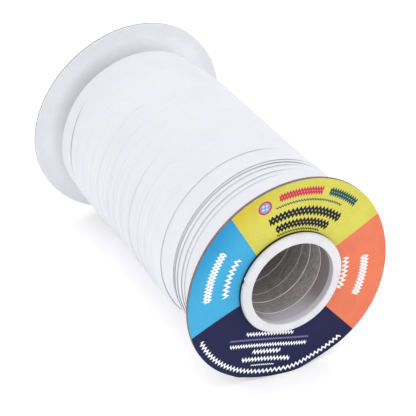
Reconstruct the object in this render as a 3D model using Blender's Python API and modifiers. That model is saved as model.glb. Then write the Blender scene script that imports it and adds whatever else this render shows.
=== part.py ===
"""A reel of folded bias tape, lying on its side.

A paper tube runs through two card flanges. A white ring covers each end of the
tube, and a printed paper disc covers the face of one flange. The folded tape is
wound on the tube between the flanges, in turns that overlap like shingles.

Lengths are in metres and +Z is up. The reel's axis lies along X, the printed
end faces +X, and each flange stands on a small flat spot of its rim at Z = 0.
Angles round the axis run from +Y towards +Z.
"""

import math
from typing import NamedTuple

import bpy

MM = 0.001
FIT = 0.3 * MM  # clearance between two pieces that touch

AXIS_HEIGHT = 35.75 * MM
BODY_LENGTH = 113.0 * MM  # from the back of the plain flange to the printed face

BORE_RADIUS = 14.6 * MM
TUBE_WALL = 1.8 * MM
TUBE_RADIUS = BORE_RADIUS + TUBE_WALL
HOLE_RADIUS = TUBE_RADIUS + FIT

CARD_RADIUS = 36.0 * MM
CARD_THICKNESS = 1.0 * MM
PAPER_THICKNESS = 0.3 * MM
PAPER_INSET = 0.1 * MM  # how far the paper's edge stays behind the card's
NEAR_SHIFT = (-0.4 * MM, -0.1 * MM)  # the near flange's centre, off the axis in Y and Z
FAR_SHIFT = (0.4 * MM, 0.1 * MM)

RING_RADIUS = 17.9 * MM
RING_HEIGHT = 2.4 * MM
RING_SEAT = RING_RADIUS - 1.1 * MM  # the ring is undercut to this radius where it is seated
RING_WIDEST = 1.0 * MM  # height above the flange at which the ring is widest
RING_OUTER_ROUND = 1.1 * MM
RING_INNER_ROUND = 0.3 * MM
ROUND_POINTS = 3  # points along each rounded corner of a ring

NEAR_FACE = BODY_LENGTH / 2
FAR_FACE = -BODY_LENGTH / 2
NEAR_CARD = NEAR_FACE - PAPER_THICKNESS - FIT - CARD_THICKNESS  # inner face of the near flange
FAR_CARD = FAR_FACE + CARD_THICKNESS  # inner face of the far flange

CARD_STEPS = 90
TURN_ANGLE = math.radians(1)  # turns the 4 degree steps so that they meet the print's borders
TUBE_STEPS = 60
RING_STEPS = 60
TAPE_STEPS = 60
CARD_RINGS = (0.35, 0.7)  # where the card's rings of points lie, from its hole to its rim
WARP_POWER = 1.5  # how the warp grows from the end ring to the rim
WELD = 0.01 * MM  # points closer than this are one
SHARP_ANGLE = math.radians(35)  # edges sharper than this aren't shaded smooth

BEND_ANGLE = math.radians(-87)  # the near flange's rim is bent outwards where it stands
BEND_SPREAD = math.radians(10)
BEND_REACH = 1.1 * MM
CORNER_ANGLE = math.radians(-119)  # a small corner that stands out of the same rim
CORNER_SPREAD = math.radians(2)
CORNER_REACH = 0.25 * MM


class Wave(NamedTuple):
    """One wave of a flange's warp at its rim: how often it repeats, and its two amplitudes."""

    repeats: int
    cosine: float
    sine: float


NEAR_WARP = (
    Wave(1, -0.54 * MM, -0.27 * MM),
    Wave(2, 0.57 * MM, -0.57 * MM),
    Wave(3, -0.15 * MM, -0.50 * MM),
)
FAR_WARP = (
    Wave(1, -0.52 * MM, 0.59 * MM),
    Wave(2, -0.26 * MM, -0.58 * MM),
)


class Section(NamedTuple):
    """The wound tape's outer radius at one place, on its two sides across HIGH_SIDE."""

    at: float
    low: float
    high: float


class Turn(NamedTuple):
    """A turn's exposed edge, and how far it stands above the turn that it laps."""

    at: float
    step: float


HIGH_SIDE = math.radians(36)
SECTIONS = (
    Section(-47.8 * MM, 29.2 * MM, 29.3 * MM),
    Section(-31.6 * MM, 30.1 * MM, 30.9 * MM),
    Section(-13.6 * MM, 30.1 * MM, 31.15 * MM),
    Section(-0.1 * MM, 30.5 * MM, 31.3 * MM),
    Section(15.4 * MM, 31.3 * MM, 31.35 * MM),
    Section(26.4 * MM, 31.6 * MM, 31.6 * MM),
    Section(35.4 * MM, 30.7 * MM, 32.1 * MM),
    Section(51.3 * MM, 30.9 * MM, 31.4 * MM),
)
TURNS = (
    Turn(-41.5 * MM, 0.45 * MM),
    Turn(-35.2 * MM, 0.25 * MM),
    Turn(-29.1 * MM, 0.30 * MM),
    Turn(-23.5 * MM, 0.25 * MM),
    Turn(-17.9 * MM, 0.30 * MM),
    Turn(-10.5 * MM, 0.30 * MM),
    Turn(-6.2 * MM, 0.25 * MM),
    Turn(0.1 * MM, 0.25 * MM),
    Turn(6.4 * MM, 0.40 * MM),
    Turn(13.1 * MM, 0.30 * MM),
    Turn(18.4 * MM, 0.30 * MM),
    Turn(23.6 * MM, 0.25 * MM),
    Turn(28.6 * MM, 0.70 * MM),
    Turn(37.4 * MM, 0.70 * MM),
    Turn(39.6 * MM, 0.50 * MM),
    Turn(42.4 * MM, 0.50 * MM),
    Turn(44.8 * MM, 0.40 * MM),
)
EDGE_WIDTH = 0.2 * MM  # length along the axis of each turn's exposed edge
SLANT = 0.9 * MM  # how far a turn wanders to each side of its place as it goes round
SLANT_ANGLE = math.radians(220)
SLANT_FADE = 8.0 * MM  # the slant dies out over this length at each end

# Points down the rounded ends of the winding: distance past the end section, radius.
FAR_END = ((0.7, 28.2), (2.6, 26.0), (4.9, 23.3), (7.1, 20.5))
NEAR_END = ((0.8, 30.3), (1.9, 27.8), (2.7, 24.5), (3.2, 20.5))
FAR_END_FACE = FAR_CARD + FIT
NEAR_END_FACE = NEAR_CARD - FIT

DISPLAY_GAMMA = 2.2
TAPE_WHITE = (241, 241, 246)
CARD_WHITE = (228, 228, 235)
CARD_GREY = (150, 138, 134)
RING_WHITE = (242, 242, 246)
TUBE_GREY = (118, 114, 113)
YELLOW = (220, 214, 94)
SKY_BLUE = (65, 176, 224)
NAVY = (44, 47, 90)
ORANGE = (241, 131, 97)


class Ink(NamedTuple):
    """A printed sector of the paper disc, from its start angle to the next one's."""

    name: str
    start: float
    colour: tuple


INKS = (
    Ink("print_yellow", math.radians(25), YELLOW),
    Ink("print_sky_blue", math.radians(129), SKY_BLUE),
    Ink("print_navy", math.radians(193), NAVY),
    Ink("print_orange", math.radians(313), ORANGE),
)


def clear_scene():
    """Removes every object, so that the reel is built in an empty scene."""
    for obj in list(bpy.data.objects):
        bpy.data.objects.remove(obj, do_unlink=True)


def linear(colour):
    """Turns an 8-bit display colour into the linear values that a shader takes."""
    return tuple((value / 255) ** DISPLAY_GAMMA for value in colour)


def finish(name, colour, roughness):
    """Makes a material with one Principled shader."""
    material = bpy.data.materials.new(name)
    material.use_nodes = True
    shader = material.node_tree.nodes["Principled BSDF"]
    shader.inputs["Base Color"].default_value = (*linear(colour), 1.0)
    shader.inputs["Roughness"].default_value = roughness
    shader.inputs["Metallic"].default_value = 0.0
    material.diffuse_color = (*linear(colour), 1.0)
    return material


def turned(name, profile, steps, place, materials):
    """Turns a closed profile about the X axis into a new object under the reel's axis.

    Args:
        name: The object's name.
        profile: Pairs of place along the axis and radius, its outer side towards -X.
        steps: How many steps the full turn has.
        place: The collection and the parent empty.
        materials: The object's materials.

    Returns:
        The object, whose mesh is the applied result.
    """
    collection, axis = place
    outline = bpy.data.meshes.new(name + "_profile")
    corners = [(along, 0.0, radius) for along, radius in profile]
    count = len(corners)
    outline.from_pydata(corners, [(i, (i + 1) % count) for i in range(count)], [])
    obj = bpy.data.objects.new(name, outline)
    collection.objects.link(obj)
    screw = obj.modifiers.new("turn", "SCREW")
    screw.axis = "X"
    screw.steps = steps
    screw.render_steps = steps
    screw.use_merge_vertices = True
    screw.merge_threshold = WELD
    graph = bpy.context.evaluated_depsgraph_get()
    mesh = bpy.data.meshes.new_from_object(obj.evaluated_get(graph))
    obj.modifiers.clear()
    obj.data = mesh
    mesh.name = name
    bpy.data.meshes.remove(outline)
    mesh.materials.clear()
    for material in materials:
        mesh.materials.append(material)
    mesh.shade_smooth()
    mesh.set_sharp_from_angle(angle=SHARP_ANGLE)
    obj.parent = axis
    return obj


def reshape(obj, move):
    """Moves each point of a turned piece.

    Args:
        obj: The piece.
        move: Takes a place along the axis, a radius and an angle, and gives the new three.
    """
    for vertex in obj.data.vertices:
        along, across, up = vertex.co
        along, radius, angle = move(along, math.hypot(across, up), math.atan2(up, across))
        vertex.co = (along, radius * math.cos(angle), radius * math.sin(angle))
    obj.data.update()


def lift_to_floor(obj, height):
    """Presses the lowest points of a piece flat at a height above the surface."""
    for vertex in obj.data.vertices:
        vertex.co.z = max(vertex.co.z, height - AXIS_HEIGHT)
    obj.data.update()


def rim_share(radius):
    """How much of what happens to a flange's rim is felt at a radius, from 0 to 1."""
    return max(0.0, (radius - RING_RADIUS) / (CARD_RADIUS - RING_RADIUS)) ** WARP_POWER


def warp_at(warp, radius, angle):
    """How far a warped flange lies from its true plane, towards +X."""
    rim = sum(
        wave.cosine * math.cos(wave.repeats * angle) + wave.sine * math.sin(wave.repeats * angle)
        for wave in warp
    )
    return rim_share(radius) * rim


def disc_profile(inner_face, thickness, rim_radius):
    """The cross-section of a flat ring, with rings of points between its hole and its rim."""
    radii = [HOLE_RADIUS]
    radii += [HOLE_RADIUS + part * (rim_radius - HOLE_RADIUS) for part in CARD_RINGS]
    radii.append(rim_radius)
    front = [(inner_face + thickness, radius) for radius in radii]
    back = [(inner_face, radius) for radius in reversed(radii)]
    return front + back


def shifted(obj, shift):
    """Moves a piece's rim off the axis, and its hole not at all."""
    for vertex in obj.data.vertices:
        radius = math.hypot(vertex.co.y, vertex.co.z)
        share = (radius - HOLE_RADIUS) / (CARD_RADIUS - HOLE_RADIUS)
        vertex.co.y += share * shift[0]
        vertex.co.z += share * shift[1]
    obj.data.update()


def build_near_flange(place):
    """The card flange of the printed end, warped and bent at its rim."""
    profile = disc_profile(NEAR_CARD, CARD_THICKNESS, CARD_RADIUS)
    materials = [finish("near_card", CARD_GREY, 0.85)]
    flange = turned("near_flange", profile, CARD_STEPS, place, materials)
    reshape(flange, near_rim_move)
    shifted(flange, NEAR_SHIFT)
    lift_to_floor(flange, 0.0)


def near_rim_move(along, radius, angle):
    """Warps and bends a point of the near flange or of its paper disc."""
    angle += TURN_ANGLE
    along += warp_at(NEAR_WARP, radius, angle)
    along += rim_share(radius) * BEND_REACH * math.exp(-(((angle - BEND_ANGLE) / BEND_SPREAD) ** 2))
    if abs(angle - CORNER_ANGLE) < CORNER_SPREAD:
        radius += rim_share(radius) * CORNER_REACH
    return along, radius, angle


def build_far_flange(place):
    """The plain card flange, warped at its rim."""

    def move(along, radius, angle):
        angle += TURN_ANGLE
        return along + warp_at(FAR_WARP, radius, angle), radius, angle

    profile = disc_profile(FAR_FACE, CARD_THICKNESS, CARD_RADIUS)
    flange = turned("far_flange", profile, CARD_STEPS, place, [finish("far_card", CARD_WHITE, 0.8)])
    reshape(flange, move)
    shifted(flange, FAR_SHIFT)
    lift_to_floor(flange, 0.0)


def ink_of(angle):
    """The index of the ink that covers an angle round the paper disc."""
    turn = 2 * math.pi
    past = [(angle - ink.start) % turn for ink in INKS]
    return past.index(min(past))


def build_near_label(place):
    """The printed paper disc on the near flange, in four plain sectors."""
    profile = disc_profile(NEAR_FACE - PAPER_THICKNESS, PAPER_THICKNESS, CARD_RADIUS - PAPER_INSET)
    materials = [finish(ink.name, ink.colour, 0.45) for ink in INKS]
    label = turned("near_label", profile, CARD_STEPS, place, materials)
    reshape(label, near_rim_move)
    for face in label.data.polygons:
        face.material_index = ink_of(math.atan2(face.center.z, face.center.y))
    shifted(label, NEAR_SHIFT)
    lift_to_floor(label, PAPER_INSET)


def ring_profile():
    """The cross-section of an end ring, from its undercut seat to its rounded top."""
    corners = [(FIT, BORE_RADIUS), (FIT, RING_SEAT), (RING_WIDEST, RING_RADIUS)]
    top = RING_HEIGHT - RING_OUTER_ROUND
    for step in range(ROUND_POINTS + 1):
        turn = math.pi / 2 * step / ROUND_POINTS
        corners.append(
            (
                top + RING_OUTER_ROUND * math.sin(turn),
                RING_RADIUS - RING_OUTER_ROUND * (1 - math.cos(turn)),
            )
        )
    top = RING_HEIGHT - RING_INNER_ROUND
    for step in range(ROUND_POINTS + 1):
        turn = math.pi / 2 * (1 - step / ROUND_POINTS)
        corners.append(
            (
                top + RING_INNER_ROUND * math.sin(turn),
                BORE_RADIUS + RING_INNER_ROUND * (1 - math.cos(turn)),
            )
        )
    return corners


def build_rings(place):
    """The white ring over each end of the tube, standing proud of its flange."""
    profile = ring_profile()
    near = [(NEAR_FACE + out, radius) for out, radius in reversed(profile)]
    far = [(FAR_FACE - out, radius) for out, radius in profile]
    turned("near_ring", near, RING_STEPS, place, [finish("near_ring_white", RING_WHITE, 0.5)])
    turned("far_ring", far, RING_STEPS, place, [finish("far_ring_white", RING_WHITE, 0.5)])


def build_tube(place):
    """The paper tube, through both flanges from face to face."""
    profile = (
        (NEAR_FACE, TUBE_RADIUS),
        (FAR_FACE, TUBE_RADIUS),
        (FAR_FACE, BORE_RADIUS),
        (NEAR_FACE, BORE_RADIUS),
    )
    turned("core_tube", profile, TUBE_STEPS, place, [finish("tube_paper", TUBE_GREY, 0.8)])


def section_at(along):
    """The wound tape's mean radius and half the difference of its two sides, at a place."""
    before = SECTIONS[0]
    for after in SECTIONS[1:]:
        if along <= after.at:
            break
        before = after
    span = after.at - before.at
    share = min(1.0, max(0.0, (along - before.at) / span)) if span else 0.0
    low = before.low + share * (after.low - before.low)
    high = before.high + share * (after.high - before.high)
    return (low + high) / 2, (high - low) / 2


def tape_profile():
    """The winding's cross-section, its outer side from the near end to the far end."""
    points = [(NEAR_END_FACE, HOLE_RADIUS)]
    end = SECTIONS[-1].at
    points += [(end + past * MM, radius * MM) for past, radius in reversed(NEAR_END)]
    points.append((end, section_at(end)[0]))
    for turn in reversed(TURNS):
        middle = section_at(turn.at)[0]
        points.append((turn.at + EDGE_WIDTH, middle + turn.step / 2))
        points.append((turn.at, middle - turn.step / 2))
    end = SECTIONS[0].at
    points.append((end, section_at(end)[0]))
    points += [(end - past * MM, radius * MM) for past, radius in FAR_END]
    points.append((FAR_END_FACE, HOLE_RADIUS))
    return points


def build_wound_tape(place):
    """The wound tape: one solid with its larger side, its slanted turns and rounded ends."""

    def move(along, radius, angle):
        mean, half = section_at(along)
        outward = min(1.0, max(0.0, (radius - HOLE_RADIUS) / (mean - HOLE_RADIUS)))
        ends = min(along - SECTIONS[0].at, SECTIONS[-1].at - along)
        fade = min(1.0, max(0.0, ends / SLANT_FADE))
        along += SLANT * fade * outward * math.cos(angle - SLANT_ANGLE)
        radius += outward * half * math.cos(angle - HIGH_SIDE)
        return along, radius, angle

    materials = [finish("tape_cotton", TAPE_WHITE, 0.9)]
    winding = turned("wound_tape", tape_profile(), TAPE_STEPS, place, materials)
    reshape(winding, move)


def main():
    """Builds the reel in its own collection, each piece under the reel's axis."""
    clear_scene()
    collection = bpy.data.collections.new("bias_tape_reel")
    bpy.context.scene.collection.children.link(collection)
    axis = bpy.data.objects.new("reel_axis", None)
    axis.location = (0.0, 0.0, AXIS_HEIGHT)
    collection.objects.link(axis)
    place = (collection, axis)
    build_tube(place)
    build_wound_tape(place)
    build_near_flange(place)
    build_far_flange(place)
    build_near_label(place)
    build_rings(place)


main()
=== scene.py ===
"""The looks of a reel of white folded bias tape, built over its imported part.

The reel lies on its side on a pale floor with its axis along X and its printed end
towards +X. Lengths are in metres unless they are said to be in millimetres, and angles
round the axis run from +Y towards +Z. The back is the side away from the camera.
"""

import logging
import math
from dataclasses import dataclass, field
from enum import Enum
from functools import cached_property
from typing import Callable, Iterable, Sequence

import bmesh
import bpy
from mathutils import Matrix, Vector, noise


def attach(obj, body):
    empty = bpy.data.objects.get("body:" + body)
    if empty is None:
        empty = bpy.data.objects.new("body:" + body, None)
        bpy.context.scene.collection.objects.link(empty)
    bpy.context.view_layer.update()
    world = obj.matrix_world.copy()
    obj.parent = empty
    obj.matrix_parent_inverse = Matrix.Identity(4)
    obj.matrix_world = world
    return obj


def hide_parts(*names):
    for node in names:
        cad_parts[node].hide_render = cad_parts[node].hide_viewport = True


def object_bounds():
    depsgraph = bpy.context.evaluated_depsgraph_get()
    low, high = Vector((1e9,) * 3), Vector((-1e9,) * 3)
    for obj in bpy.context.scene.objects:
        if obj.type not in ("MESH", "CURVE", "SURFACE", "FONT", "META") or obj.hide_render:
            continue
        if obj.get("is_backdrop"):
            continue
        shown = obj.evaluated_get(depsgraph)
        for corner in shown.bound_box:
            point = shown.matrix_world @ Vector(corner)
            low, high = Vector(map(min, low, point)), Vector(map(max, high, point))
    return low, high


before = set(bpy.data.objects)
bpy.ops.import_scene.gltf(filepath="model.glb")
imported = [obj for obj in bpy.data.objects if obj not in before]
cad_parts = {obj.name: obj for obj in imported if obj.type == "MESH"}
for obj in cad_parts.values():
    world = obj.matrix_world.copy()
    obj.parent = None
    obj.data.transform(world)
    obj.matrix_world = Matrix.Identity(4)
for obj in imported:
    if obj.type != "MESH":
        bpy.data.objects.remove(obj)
cad_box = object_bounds()

MM = 0.001
FULL_TURN = 2 * math.pi

# The tape's edges. Their turns are counted from the seam angle, and they are pressed flat round
# the back angle. The seam angle, the spread and the easing are in degrees, and the sink is in
# millimetres.
SEAM_ANGLE = -30.0
BACK_ANGLE = math.radians(306)
BACK_SPREAD = 72.0
EASING = 24.0
FLAT_SINK = 0.03
FLAT_SHARE = 0.3

log = logging.getLogger("reel")

Pair = tuple[float, float]
Triple = tuple[float, float, float]
Colour = tuple[int, int, int]
Linear = tuple[float, float, float, float]
Shape = bmesh.types.BMesh


def smooth_step(value: float) -> float:
    """Eases a value from 0 to 1 with no corner at either end."""
    value = min(1.0, max(0.0, value))
    return value * value * (3 - 2 * value)


def apart(angle: float, other: float) -> float:
    """How far apart two angles are, from 0 to half a turn."""
    return abs((angle - other + math.pi) % FULL_TURN - math.pi)


def linear(colour: Colour) -> Linear:
    """Turns an 8-bit display colour into a shader's linear colour.

    Args:
        colour: Red, green and blue, from 0 to 255.

    Returns:
        The linear colour, with an alpha of 1.
    """
    parts = [c / 255 for c in colour]
    parts = [c / 12.92 if c <= 0.04045 else ((c + 0.055) / 1.055) ** 2.4 for c in parts]
    return (parts[0], parts[1], parts[2], 1.0)


# ---- Sizes that the pieces share


@dataclass(frozen=True)
class ReelSizes:
    """The reel's main sizes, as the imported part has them."""

    axis_height: float = 35.75 * MM
    near_face: float = 56.5 * MM
    far_face: float = -56.5 * MM
    bore_radius: float = 14.6 * MM
    tube_radius: float = 16.4 * MM
    hole_radius: float = 16.7 * MM
    card_radius: float = 36.0 * MM
    ring_radius: float = 17.9 * MM
    ring_height: float = 2.4 * MM


SIZES = ReelSizes()


class End(Enum):
    """The two ends of the reel."""

    NEAR = "near"
    FAR = "far"


@dataclass(frozen=True)
class Wave:
    """One wave of a flange's warp at its rim, in millimetres."""

    repeats: int
    cosine: float
    sine: float

    def at(self, angle: float) -> float:
        """The wave's reach at an angle, in metres."""
        turn = self.repeats * angle
        return (self.cosine * math.cos(turn) + self.sine * math.sin(turn)) * MM


@dataclass(frozen=True)
class RimShape:
    """How a flange's rim departs from a true disc."""

    waves: tuple[Wave, ...]
    shift: Pair
    bend_angle: float = 0.0
    bend_spread: float = 1.0
    bend_reach: float = 0.0
    corner_angle: float = 0.0
    corner_spread: float = 1.0
    corner_reach: float = 0.0
    power: float = 1.5

    def share(self, radius: float) -> float:
        """How much of the rim's shape is felt at a radius, from 0 to 1."""
        span = SIZES.card_radius - SIZES.ring_radius
        return max(0.0, (radius - SIZES.ring_radius) / span) ** self.power

    def moved(self, along: float, radius: float, angle: float) -> Triple:
        """Warps a point of a flange.

        Args:
            along: The point's place along the axis.
            radius: Its distance from the axis.
            angle: Its angle round the axis.

        Returns:
            The point's X, Y and Z, with Z counted from the axis.
        """
        share = self.share(radius)
        along += share * sum(wave.at(angle) for wave in self.waves)
        off = apart(angle, self.bend_angle) / self.bend_spread
        along += share * self.bend_reach * math.exp(-(off**2))
        peak = max(0.0, 1 - apart(angle, self.corner_angle) / self.corner_spread)
        radius += share * self.corner_reach * peak
        slide = (radius - SIZES.hole_radius) / (SIZES.card_radius - SIZES.hole_radius)
        across = radius * math.cos(angle) + slide * self.shift[0]
        up = radius * math.sin(angle) + slide * self.shift[1]
        return along, across, max(up, -SIZES.axis_height)


NEAR_RIM = RimShape(
    waves=(Wave(1, -0.54, -0.27), Wave(2, 0.57, -0.57), Wave(3, -0.15, -0.50)),
    shift=(-0.4 * MM, -0.1 * MM),
    bend_angle=math.radians(-87),
    bend_spread=math.radians(10),
    bend_reach=1.1 * MM,
    corner_angle=math.radians(-119),
    corner_spread=math.radians(4),
    corner_reach=0.25 * MM,
)
FAR_RIM = RimShape(
    waves=(Wave(1, -0.52, 0.59), Wave(2, -0.26, -0.58)), shift=(0.4 * MM, 0.1 * MM)
)


# ---- Node trees


class Field:
    """A value that varies over a surface, to be reckoned with like a number."""

    def __init__(self, socket: bpy.types.NodeSocket) -> None:
        """Takes the socket that gives the value."""
        self.socket = socket

    def reckon(self, operation: str, *others: "Field | float") -> "Field":
        """Adds a Math node of this value and others, and returns its result."""
        return reckon(operation, self, *others)

    def __add__(self, other: "Field | float") -> "Field":
        """This value plus another."""
        return reckon("ADD", self, other)

    def __sub__(self, other: "Field | float") -> "Field":
        """This value less another."""
        return reckon("SUBTRACT", self, other)

    def __rsub__(self, other: float) -> "Field":
        """A number less this value."""
        return reckon("SUBTRACT", other, self)

    def __mul__(self, other: "Field | float") -> "Field":
        """This value times another."""
        return reckon("MULTIPLY", self, other)

    def __truediv__(self, other: "Field | float") -> "Field":
        """This value over another."""
        return reckon("DIVIDE", self, other)

    def size(self) -> "Field":
        """This value without its sign."""
        return reckon("ABSOLUTE", self)

    def reach(self, other: "Field") -> "Field":
        """The length of a step of this value one way and of another across it."""
        return (self * self + other * other).reckon("SQRT")

    def ramp(self, low: float, high: float) -> "Field":
        """Eases from 0 to 1 as this value goes from low to high, which may be the smaller.

        Args:
            low: The value that gives 0.
            high: The value that gives 1.

        Returns:
            The eased value.
        """
        node = self.socket.id_data.nodes.new("ShaderNodeMapRange")
        node.interpolation_type = "SMOOTHSTEP"
        give(node, {"Value": self, "From Min": low, "From Max": high})
        return Field(node.outputs[0])


Value = Field | float | tuple[float, ...]


def join(socket: bpy.types.NodeSocket, value: Value) -> None:
    """Links a socket to a field, or sets it.

    Args:
        socket: The socket.
        value: The field to link, or the value to set.
    """
    if isinstance(value, Field):
        socket.id_data.links.new(value.socket, socket)
    else:
        socket.default_value = value


def give(node: bpy.types.Node, inputs: dict[str, Value]) -> None:
    """Links a node's inputs to fields or sets them, by name with _ for each space."""
    for name, value in inputs.items():
        join(node.inputs[name.replace("_", " ")], value)


def reckon(operation: str, *values: Field | float) -> Field:
    """Adds a Math node.

    Args:
        operation: The node's operation.
        *values: Its values in order, at least one of them a field.

    Returns:
        The result.
    """
    tree = next(value.socket.id_data for value in values if isinstance(value, Field))
    node = tree.nodes.new("ShaderNodeMath")
    node.operation = operation
    for socket, value in zip(node.inputs, values):
        join(socket, value)
    return Field(node.outputs[0])


@dataclass
class Wiring:
    """A material's node tree and its shader while they are being joined."""

    tree: bpy.types.NodeTree
    shader: bpy.types.Node

    @cached_property
    def spot(self) -> Field:
        """The place on the object, in metres."""
        return self.add("TexCoord", "Object")

    def add(self, kind: str, output: str | int = 0, **inputs: Value) -> Field:
        """Adds a node.

        Args:
            kind: The node's type, without its ShaderNode prefix.
            output: The output to use.
            **inputs: Its inputs, by name with _ for each space.

        Returns:
            The field that the output gives.
        """
        node = self.tree.nodes.new("ShaderNode" + kind)
        give(node, inputs)
        return Field(node.outputs[output])

    def dress(self, **inputs: Value) -> None:
        """Links or sets the shader's own inputs, by name with _ for each space."""
        give(self.shader, inputs)

    def parts(self, where: Field) -> tuple[Field, Field, Field]:
        """The X, Y and Z of a place."""
        outputs = self.add("SeparateXYZ", Vector=where).socket.node.outputs
        return Field(outputs[0]), Field(outputs[1]), Field(outputs[2])

    def round_axis(self) -> tuple[Field, Field, Field]:
        """The place along the reel's axis, and across and up from it."""
        along, across, up = self.parts(self.spot)
        return along, across, up - SIZES.axis_height

    def kept(self, name: str) -> Field:
        """A number that the mesh keeps under a name.

        Args:
            name: The name.

        Returns:
            The number.
        """
        field = self.add("Attribute", "Fac")
        field.socket.node.attribute_name = name
        return field

    def mix(self, share: Value, first: Value, second: Value) -> Field:
        """Mixes two colours.

        Args:
            share: The second colour's share, from 0 to 1.
            first: The first colour.
            second: The second colour.

        Returns:
            The mixed colour.
        """
        node = self.add("Mix").socket.node
        node.data_type = "RGBA"
        for number, value in ((0, share), (6, first), (7, second)):
            join(node.inputs[number], value)
        return Field(node.outputs[2])

    def darker(self, colour: Value, value: float) -> Field:
        """A colour at a share of its value."""
        return self.add("HueSaturation", Color=colour, Value=value)

    def fleck(self, scale: float, detail: float = 2.0, **inputs: Value) -> Field:
        """A noise over the object, or over another place if given, from 0 to 1."""
        inputs = {"Vector": self.spot, "Scale": scale, "Detail": detail} | inputs
        return self.add("TexNoise", "Fac", **inputs)

    def bump(self, height: Field, distance: float, strength: float, **under: Field) -> Field:
        """A normal bent by a height that reaches a distance, over another normal if given."""
        return self.add("Bump", Height=height, Distance=distance, Strength=strength, **under)


# ---- Finishes


@dataclass(frozen=True)
class Finish:
    """A surface finish. Each kind adds its own detail to one Principled shader."""

    name: str
    colour: Colour
    roughness: float

    def material(self) -> bpy.types.Material:
        """Makes the finish's material.

        Returns:
            The material.
        """
        made = bpy.data.materials.new(self.name)
        made.use_nodes = True
        wiring = Wiring(made.node_tree, made.node_tree.nodes["Principled BSDF"])
        wiring.dress(Base_Color=linear(self.colour), Roughness=self.roughness)
        self.dress(wiring)
        return made

    def shade(self, share: float) -> Linear:
        """The finish's colour at a share of its brightness."""
        return linear(tuple(int(c * share) for c in self.colour))

    def dress(self, wiring: Wiring) -> None:
        """Wires the finish's own detail into the shader."""


@dataclass(frozen=True)
class TapeCloth(Finish):
    """White woven cloth, cut on the bias, so its threads cross the tape at 45 degrees.

    A soft painted shade beside the turns' edges stands in for their shadow, most round the flat
    angle, where the turns are pressed flat, and a little round the low angle.
    """

    thread: float = 0.24 * MM
    relief: float = 0.03 * MM
    advance: float = 4.9 * MM
    contact: float = 0.30
    flat_angle: float = BACK_ANGLE
    low_angle: float = math.radians(186)
    low_share: float = 0.75

    def dress(self, wiring: Wiring) -> None:
        """Adds the weave, slubs in it, a faint unevenness of tone and the painted shade at the
        turns' edges.

        Args:
            wiring: The material's wiring.
        """
        cloth = wiring.add("UVMap", "UV")
        cloth.socket.node.uv_map = "cloth"
        run, side, _ = wiring.parts(cloth)
        turn = math.pi / self.thread / math.sqrt(2)
        warp, weft = ((run + side) * turn).reckon("SINE"), ((run - side) * turn).reckon("SINE")
        over = (warp * weft).reckon("GREATER_THAN", 0.0)
        weave = warp.size() * over + weft.size() * (1.0 - over)
        slub, soft = wiring.fleck(900.0, 3.0), wiring.fleck(60.0)
        creases = wiring.bump(soft, 0.25 * MM, 0.25)
        tone = (weave * 0.5 + soft * 0.7).ramp(0.2, 0.9)
        white = wiring.mix(tone, self.shade(0.955), linear(self.colour))
        # Painted shade: the cloth darkens beside the turns' edges.
        wiring.dress(
            Base_Color=wiring.mix(self.painted_edge_shade(wiring), white, self.shade(0.45)),
            Normal=wiring.bump(weave + slub * 0.6, self.relief, 0.45, Normal=creases),
            Sheen_Weight=0.12,
            Sheen_Roughness=0.5,
        )

    def painted_edge_shade(self, wiring: Wiring) -> Field:
        """The painted shade beside the turns' edges, most where they are pressed flat, from 0 to
        1.

        Args:
            wiring: The material's wiring.

        Returns:
            The painted shade.
        """
        along, across, up = wiring.round_axis()
        angle = up.reckon("ARCTAN2", across)
        wander = wiring.fleck(22.0, 1.0) * 0.7
        turns = along / self.advance + wander - angle / FULL_TURN
        outer = turns.reckon("FRACT").ramp(0.11, 0.0)
        covered = (turns + 0.37).reckon("FRACT").ramp(0.09, 0.0)
        flat = (angle - self.flat_angle).reckon("COSINE").ramp(-0.3, 0.45)
        low = (angle - self.low_angle).reckon("COSINE").ramp(0.72, 0.97)
        low = low * along.size().ramp(29 * MM, 20 * MM) * self.low_share
        strength = flat.reckon("MAXIMUM", low) * self.contact * wiring.fleck(40.0).ramp(0.2, 0.7)
        return (outer + covered * 0.45) * strength


@dataclass(frozen=True)
class CardLining(Finish):
    """The white paper that lines the card: matt, with faint fibres, and greyer towards its rim."""

    rim_grey: Colour = (226, 226, 231)

    def dress(self, wiring: Wiring) -> None:
        """Adds fibres, cloudy tone, the greyer rim and a little tooth.

        Args:
            wiring: The material's wiring.
        """
        _, across, up = wiring.round_axis()
        rim = across.reach(up).ramp(SIZES.card_radius * 0.82, SIZES.card_radius)
        paper = wiring.mix(rim, linear(self.colour), linear(self.rim_grey))
        fibre = wiring.fleck(700.0, 4.0, Distortion=1.5)
        tone = wiring.fleck(70.0, 4.0) * 0.6 + fibre * 0.4
        wiring.dress(
            Base_Color=wiring.mix(tone.ramp(0.35, 0.65), wiring.darker(paper, 0.93), paper),
            Normal=wiring.bump(fibre, 0.02 * MM, 0.35),
        )


@dataclass(frozen=True)
class CardEdge(Finish):
    """The cut edge of pressed card: its plies, under a white lining on one side or on both.

    The depth in the card comes from the mesh, and each lining is a share of the thickness.
    """

    thickness: float
    inner_lining: float
    outer_lining: float
    lining: Colour = (232, 230, 232)
    ply_contrast: float = 0.2

    def dress(self, wiring: Wiring) -> None:
        """Adds the plies and the linings.

        Args:
            wiring: The material's wiring.
        """
        rough = wiring.fleck(900.0, 4.0)
        level = wiring.kept("depth") / self.thickness + (rough - 0.5) * 0.10
        tone = (level * 38.0).reckon("SINE") * self.ply_contrast + rough
        card = wiring.mix(tone.ramp(0.25, 0.8), self.shade(0.78), linear(self.colour))
        inner = level.ramp(self.inner_lining, self.inner_lining - 0.05)
        outer = level.ramp(1.0 - self.outer_lining, 1.05 - self.outer_lining)
        wiring.dress(
            Base_Color=wiring.mix(inner.reckon("MAXIMUM", outer), card, linear(self.lining)),
            Normal=wiring.bump(tone, 0.04 * MM, 0.6),
        )


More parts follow.
